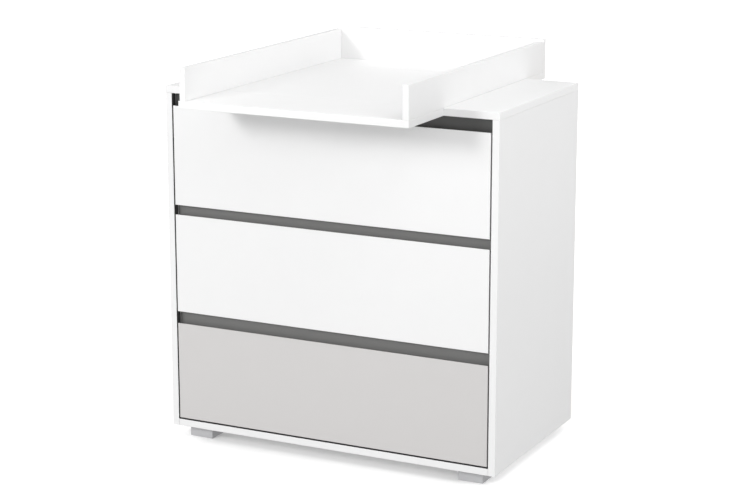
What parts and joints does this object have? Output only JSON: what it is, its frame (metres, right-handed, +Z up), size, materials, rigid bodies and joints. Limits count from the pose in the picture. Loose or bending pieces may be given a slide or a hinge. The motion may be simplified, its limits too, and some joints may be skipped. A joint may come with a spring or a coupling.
{
  "type": "changing table",
  "caption": "Chest of drawers in white laminate with finger recesses for handles, block feet and a lift-off changing top that overhangs front and back inside a raised rim.",
  "frame": {"origin": "on the floor, below the middle of the whole outline", "axes": "+X to the right across the drawer fronts, +Y from the fronts to the back, +Z up"},
  "size_m": [0.9, 0.816, 0.996],
  "materials": {
    "white_laminate": "white melamine on particle board, satin",
    "grey_front": "warm light grey melamine on particle board, satin",
    "grey_rails": "graphite grey melamine on particle board, matt",
    "white_hardboard": "white painted hardboard, matt",
    "silver_feet": "silver-grey moulded plastic, fine texture",
    "slide_steel": "rolled steel, zinc plated",
    "screw_steel": "zinc-plated steel",
    "zinc_cams": "die-cast zinc and steel bolts",
    "beech_dowels": "fluted beech, unfinished"
  },
  "bodies": {
    "chest": {"top_panel": "white_laminate", "bottom_panel": "white_laminate", "left_side_panel": "white_laminate", "right_side_panel": "white_laminate", "back_panel": "white_hardboard", "grip_rail_1": "grey_rails", "grip_rail_2": "grey_rails", "grip_rail_3": "grey_rails", "front_left_foot": "silver_feet", "front_right_foot": "silver_feet", "rear_left_foot": "silver_feet", "rear_right_foot": "silver_feet", "wood_dowels": "beech_dowels", "cam_fittings": "zinc_cams", "chest_screws": "screw_steel", "drawer_1_left_slide_outer": "slide_steel", "drawer_1_right_slide_outer": "slide_steel", "drawer_2_left_slide_outer": "slide_steel", "drawer_2_right_slide_outer": "slide_steel", "drawer_3_left_slide_outer": "slide_steel", "drawer_3_right_slide_outer": "slide_steel"},
    "drawer_1_runners": {"drawer_1_left_slide_middle": "slide_steel", "drawer_1_right_slide_middle": "slide_steel"},
    "drawer_1": {"drawer_1_front": "white_laminate", "drawer_1_inner_front": "white_laminate", "drawer_1_left_side": "white_laminate", "drawer_1_right_side": "white_laminate", "drawer_1_back": "white_laminate", "drawer_1_bottom": "white_hardboard", "drawer_1_left_slide_inner": "slide_steel", "drawer_1_right_slide_inner": "slide_steel", "drawer_1_screws": "screw_steel"},
    "drawer_2_runners": {"drawer_2_left_slide_middle": "slide_steel", "drawer_2_right_slide_middle": "slide_steel"},
    "drawer_2": {"drawer_2_front": "white_laminate", "drawer_2_inner_front": "white_laminate", "drawer_2_left_side": "white_laminate", "drawer_2_right_side": "white_laminate", "drawer_2_back": "white_laminate", "drawer_2_bottom": "white_hardboard", "drawer_2_left_slide_inner": "slide_steel", "drawer_2_right_slide_inner": "slide_steel", "drawer_2_screws": "screw_steel"},
    "drawer_3_runners": {"drawer_3_left_slide_middle": "slide_steel", "drawer_3_right_slide_middle": "slide_steel"},
    "drawer_3": {"drawer_3_front": "grey_front", "drawer_3_inner_front": "white_laminate", "drawer_3_left_side": "white_laminate", "drawer_3_right_side": "white_laminate", "drawer_3_back": "white_laminate", "drawer_3_bottom": "white_hardboard", "drawer_3_left_slide_inner": "slide_steel", "drawer_3_right_slide_inner": "slide_steel", "drawer_3_screws": "screw_steel"},
    "changer": {"left_rim": "white_laminate", "right_rim": "white_laminate", "rear_rim": "white_laminate", "front_extension_board": "white_laminate", "rear_extension_board": "white_laminate", "changer_screws": "screw_steel"}
  },
  "joints": [
    {"name": "drawer_1_slide", "type": "slide", "parent": "chest", "child": "drawer_1", "axis": [0, -1, 0], "range_m": [0, 0.4]},
    {"name": "drawer_1_runner_slide", "type": "slide", "parent": "chest", "child": "drawer_1_runners", "axis": [0, -1, 0], "range_m": [0, 0.2]},
    {"name": "drawer_2_slide", "type": "slide", "parent": "chest", "child": "drawer_2", "axis": [0, -1, 0], "range_m": [0, 0.4]},
    {"name": "drawer_2_runner_slide", "type": "slide", "parent": "chest", "child": "drawer_2_runners", "axis": [0, -1, 0], "range_m": [0, 0.2]},
    {"name": "drawer_3_slide", "type": "slide", "parent": "chest", "child": "drawer_3", "axis": [0, -1, 0], "range_m": [0, 0.4]},
    {"name": "drawer_3_runner_slide", "type": "slide", "parent": "chest", "child": "drawer_3_runners", "axis": [0, -1, 0], "range_m": [0, 0.2]},
    {"name": "changer_lift", "type": "slide", "parent": "chest", "child": "changer", "axis": [0, 0, 1], "range_m": [0, 0.15]}
  ],
  "couplings": [
    {"joint": "drawer_1_runner_slide", "follows": "drawer_1_slide", "ratio": 0.5},
    {"joint": "drawer_2_runner_slide", "follows": "drawer_2_slide", "ratio": 0.5},
    {"joint": "drawer_3_runner_slide", "follows": "drawer_3_slide", "ratio": 0.5}
  ]
}
